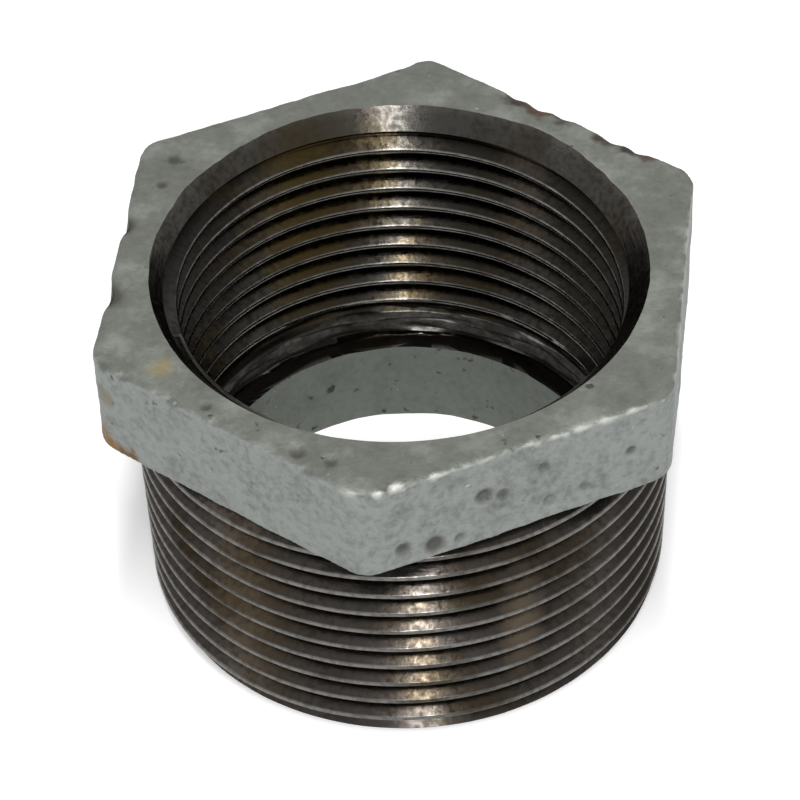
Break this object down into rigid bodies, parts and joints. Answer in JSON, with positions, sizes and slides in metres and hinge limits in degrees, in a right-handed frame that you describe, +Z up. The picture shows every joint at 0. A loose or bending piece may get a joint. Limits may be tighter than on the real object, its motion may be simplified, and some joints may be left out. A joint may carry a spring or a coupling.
{
  "type": "hexagon reducing bush",
  "caption": "Threaded concentric reducer: hexagon reducing bush with a male taper pipe thread outside and a smaller female pipe thread inside.",
  "frame": {"origin": "centre of the small end's face, on the bore's centre line", "axes": "+Z up the bore from the small end to the hexagon; the hexagon has corners on +Y and -Y and flats on +X and -X"},
  "size_m": [0.05, 0.0566, 0.035],
  "materials": {
    "galvanised_iron": "hot-dip zinc on the cast skin, bare cut iron on the threads"
  },
  "bodies": {
    "root": {"bush_body": "galvanised_iron"}
  },
  "joints": []
}
